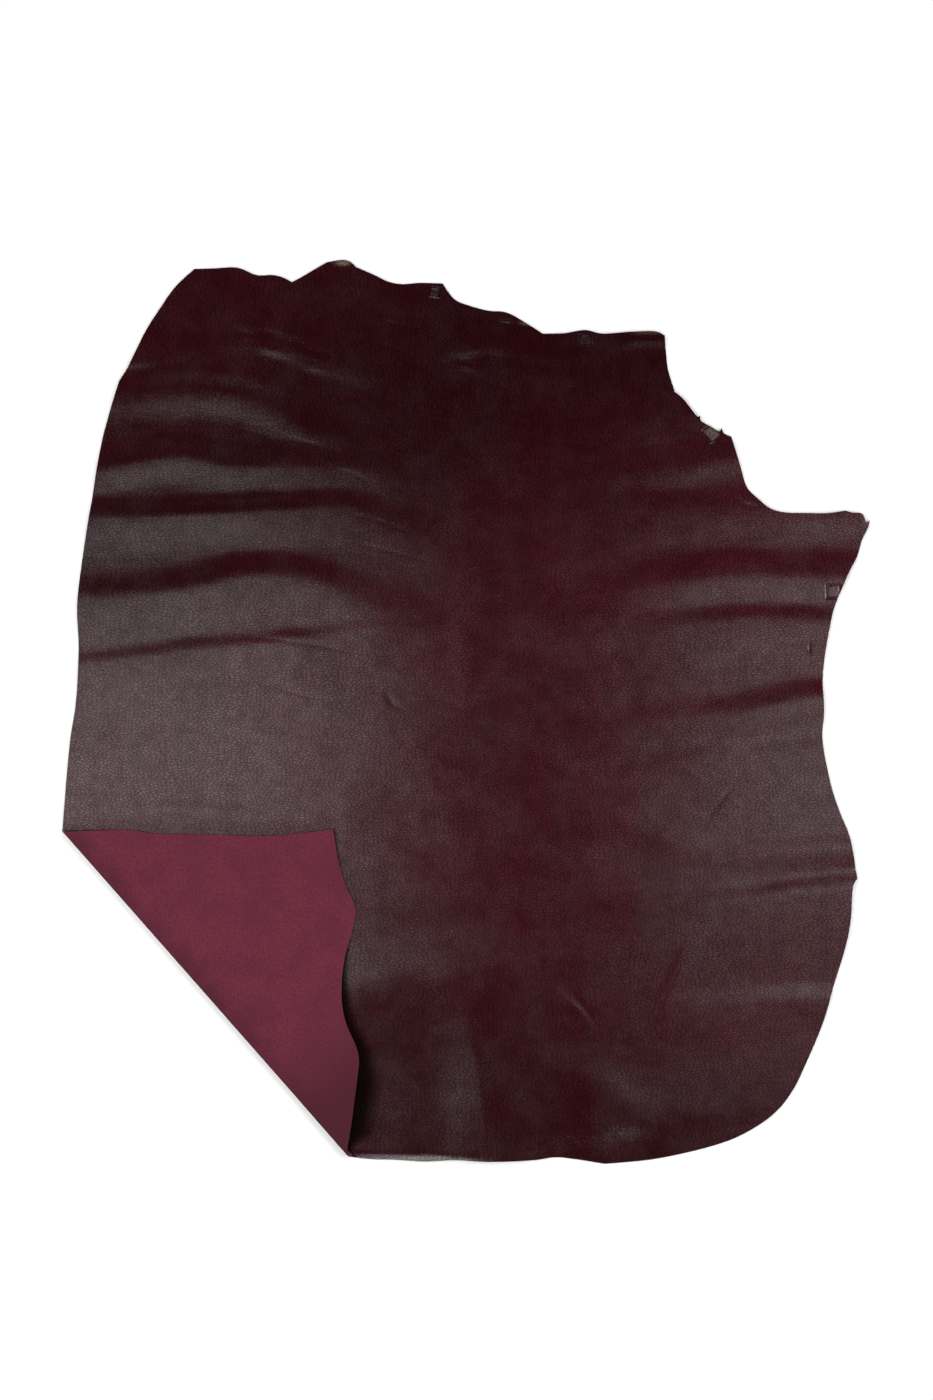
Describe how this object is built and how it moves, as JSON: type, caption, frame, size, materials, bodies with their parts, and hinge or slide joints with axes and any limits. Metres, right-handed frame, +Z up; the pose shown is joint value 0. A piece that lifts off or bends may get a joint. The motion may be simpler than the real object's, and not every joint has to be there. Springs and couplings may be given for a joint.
{
  "type": "leather hide",
  "caption": "Half hide of dark red-brown pebbled leather, lying loose in soft waves with a lower corner turned over to show its suede flesh side.",
  "frame": {"origin": "on the surface the hide lies on, under the middle of its outline as it lies", "axes": "+X towards the belly edge at the right, +Y towards the neck at the top, +Z up off the surface"},
  "size_m": [1.3311, 1.492, 0.0177],
  "materials": {
    "leather": "pebbled grain, satin, with a matt suede flesh side"
  },
  "bodies": {
    "root": {"hide": "leather"}
  },
  "joints": []
}
